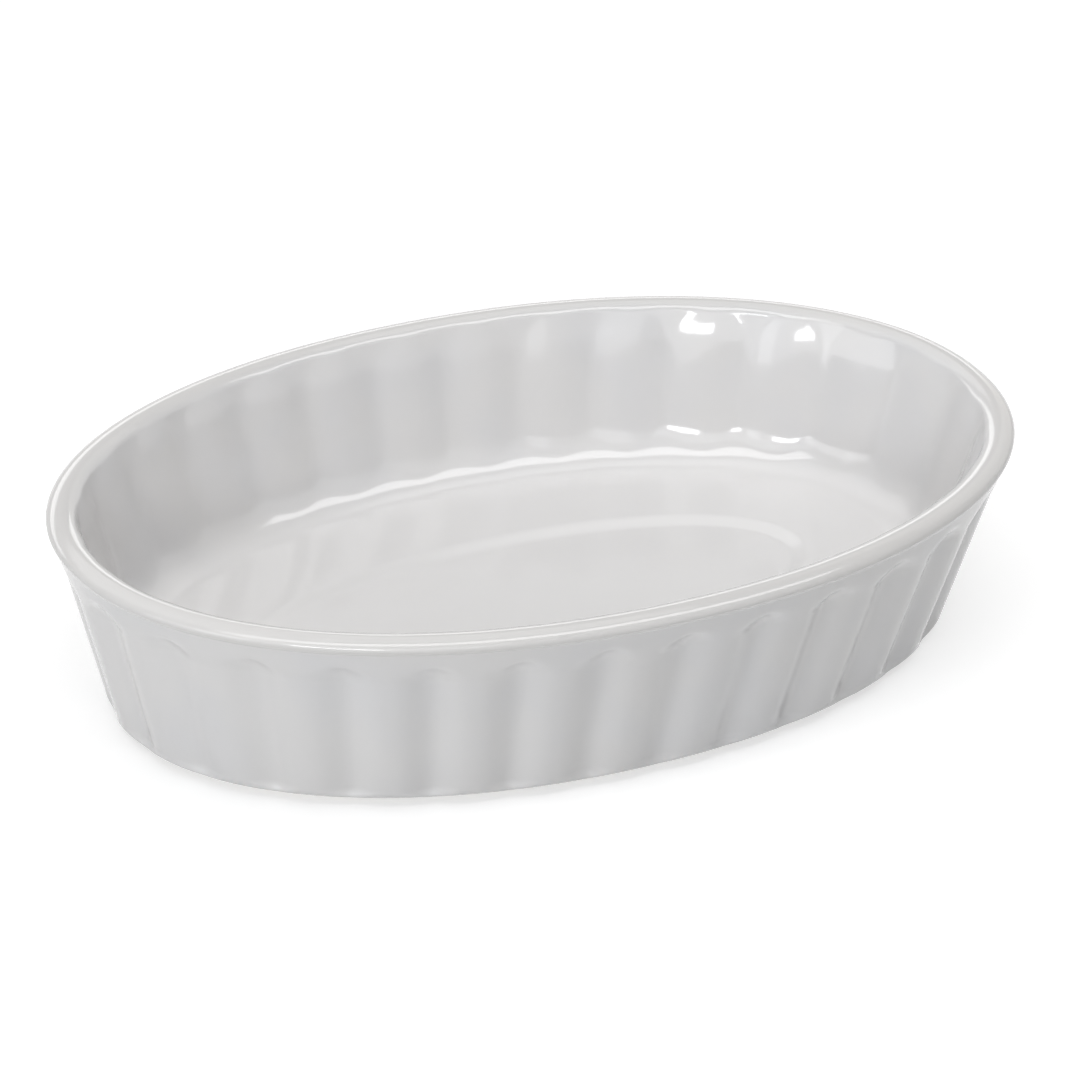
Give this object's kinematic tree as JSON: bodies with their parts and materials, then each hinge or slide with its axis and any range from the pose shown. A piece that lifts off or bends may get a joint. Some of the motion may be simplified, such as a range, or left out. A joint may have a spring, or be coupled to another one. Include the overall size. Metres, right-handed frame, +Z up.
{
  "type": "creme brulee dish",
  "caption": "Shallow oval baking dish of white glazed stoneware with a fluted flared wall, a rounded rim bead and a low unglazed foot ring, for single custards.",
  "frame": {"origin": "centre of the oval plane that the dish stands on", "axes": "+X along the length, +Y across the width, +Z up out of the mouth"},
  "size_m": [0.133, 0.086, 0.0284],
  "materials": {
    "white_glaze": "clear gloss glaze over white stoneware",
    "bare_clay": "dry, wiped free of glaze"
  },
  "bodies": {
    "root": {"rim_bead": "white_glaze", "fluted_wall": "white_glaze", "wall_root": "white_glaze", "base": "white_glaze", "foot_ring": "bare_clay"}
  },
  "joints": []
}
